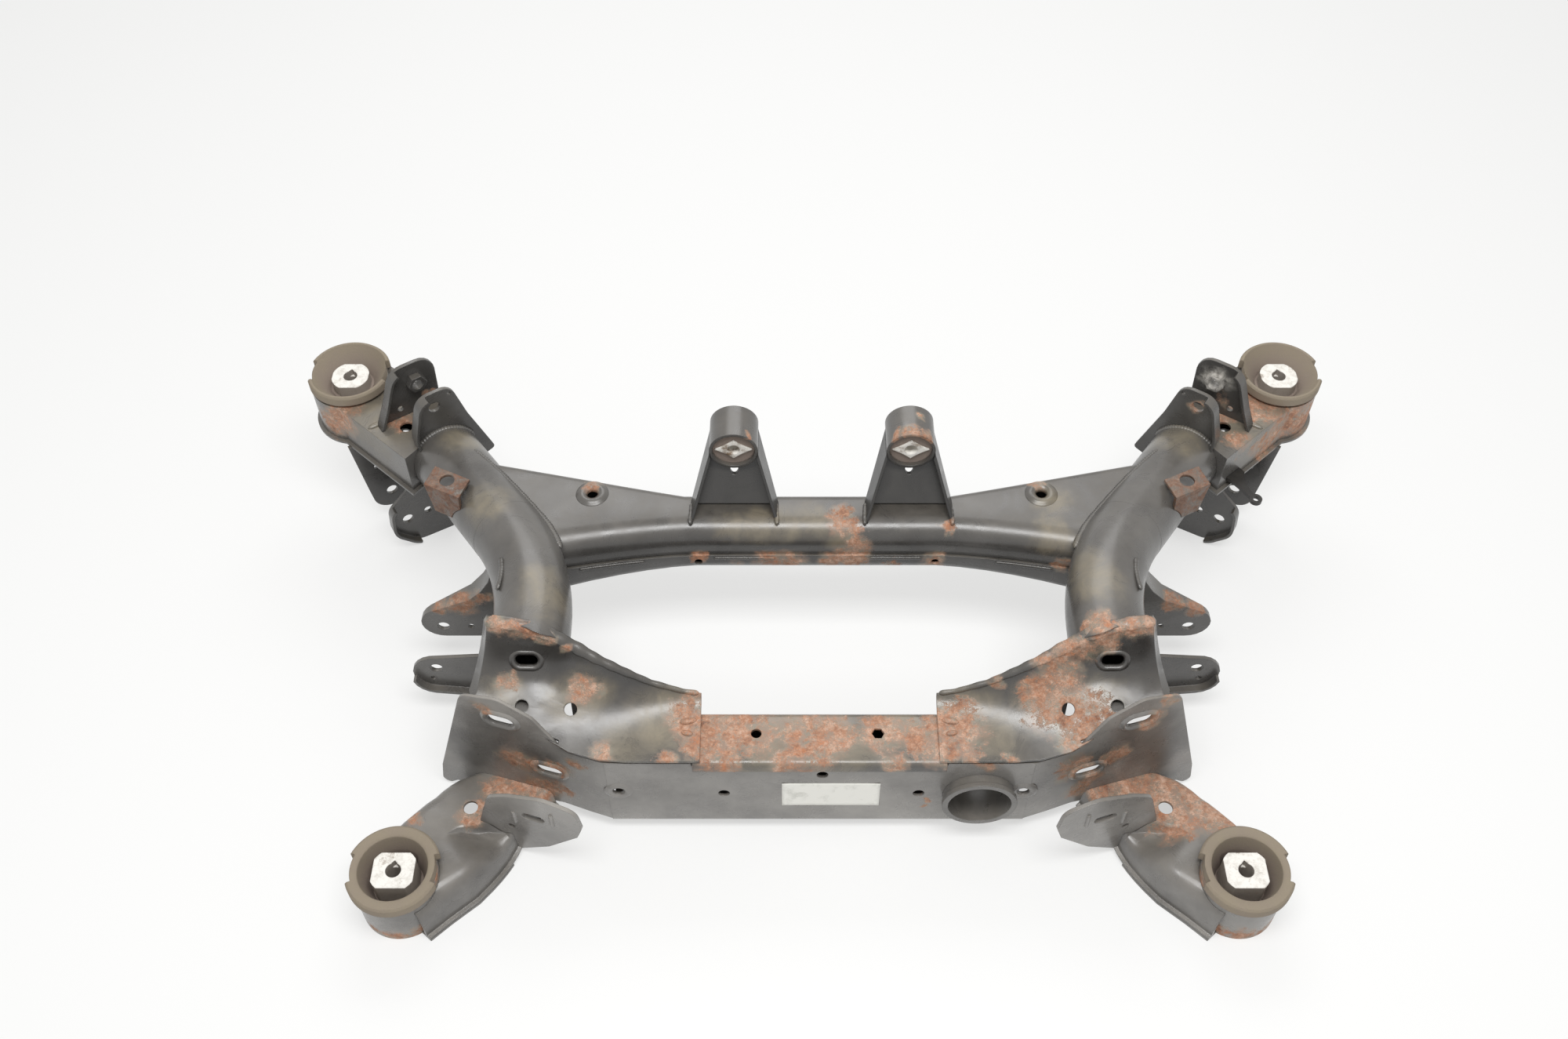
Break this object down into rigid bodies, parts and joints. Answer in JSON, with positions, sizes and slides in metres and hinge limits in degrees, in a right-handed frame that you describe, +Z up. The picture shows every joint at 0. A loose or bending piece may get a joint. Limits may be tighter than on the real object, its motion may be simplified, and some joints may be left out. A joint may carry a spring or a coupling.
{
  "type": "rear axle subframe",
  "caption": "Welded rear axle subframe with curved side tubes, two pressed crossmembers, link ears and rubber body bushes.",
  "frame": {"origin": "on the floor under the centre of the part's box", "axes": "+X to the part's right as seen from the front, +Y from the front crossmember to the rear one, +Z up"},
  "size_m": [1.096, 0.608, 0.269],
  "materials": {
    "frame_paint": "worn satin black chassis paint with dust and rust",
    "rusty_steel": "rusty pressed steel",
    "bush_rubber": "dusty black rubber",
    "core_alloy": "white oxidised alloy",
    "clip_plastic": "matte black"
  },
  "bodies": {
    "root": {"cable_clip": "clip_plastic", "drive_bracket_left": "frame_paint", "drive_bracket_right": "frame_paint", "drive_core_left": "core_alloy", "drive_core_right": "core_alloy", "drive_rubber_left": "bush_rubber", "drive_rubber_right": "bush_rubber", "drive_sleeve_left": "frame_paint", "drive_sleeve_right": "frame_paint", "front_arm_lower_left": "frame_paint", "front_arm_lower_right": "frame_paint", "front_arm_upper_left": "frame_paint", "front_arm_upper_right": "frame_paint", "front_bush_core_left": "core_alloy", "front_bush_core_right": "core_alloy", "front_bush_rubber_left": "bush_rubber", "front_bush_rubber_right": "bush_rubber", "front_crossmember_front": "frame_paint", "front_crossmember_rear": "frame_paint", "front_link_bracket_left": "frame_paint", "front_link_bracket_right": "frame_paint", "front_sleeve_left": "frame_paint", "front_sleeve_right": "frame_paint", "lower_ear_inner_left": "frame_paint", "lower_ear_inner_right": "frame_paint", "lower_ear_outer_left": "frame_paint", "lower_ear_outer_right": "frame_paint", "mid_ear_front_left": "frame_paint", "mid_ear_front_right": "frame_paint", "mid_ear_rear_left": "frame_paint", "mid_ear_rear_right": "frame_paint", "nose_sleeve": "frame_paint", "rear_box_lower_left": "frame_paint", "rear_box_lower_right": "frame_paint", "rear_box_upper_left": "frame_paint", "rear_box_upper_right": "frame_paint", "rear_bush_core_left": "core_alloy", "rear_bush_core_right": "core_alloy", "rear_bush_rubber_left": "bush_rubber", "rear_bush_rubber_right": "bush_rubber", "rear_crossmember_lower": "frame_paint", "rear_crossmember_upper": "frame_paint", "rear_sleeve_left": "frame_paint", "rear_sleeve_right": "frame_paint", "roll_bar_bracket_left": "rusty_steel", "roll_bar_bracket_right": "rusty_steel", "side_tube_left": "frame_paint", "side_tube_right": "frame_paint", "upper_ear_inner_left": "frame_paint", "upper_ear_inner_right": "frame_paint", "upper_ear_outer_left": "frame_paint", "upper_ear_outer_right": "frame_paint", "weld_nuts": "rusty_steel", "wing_left": "frame_paint", "wing_right": "frame_paint"}
  },
  "joints": []
}
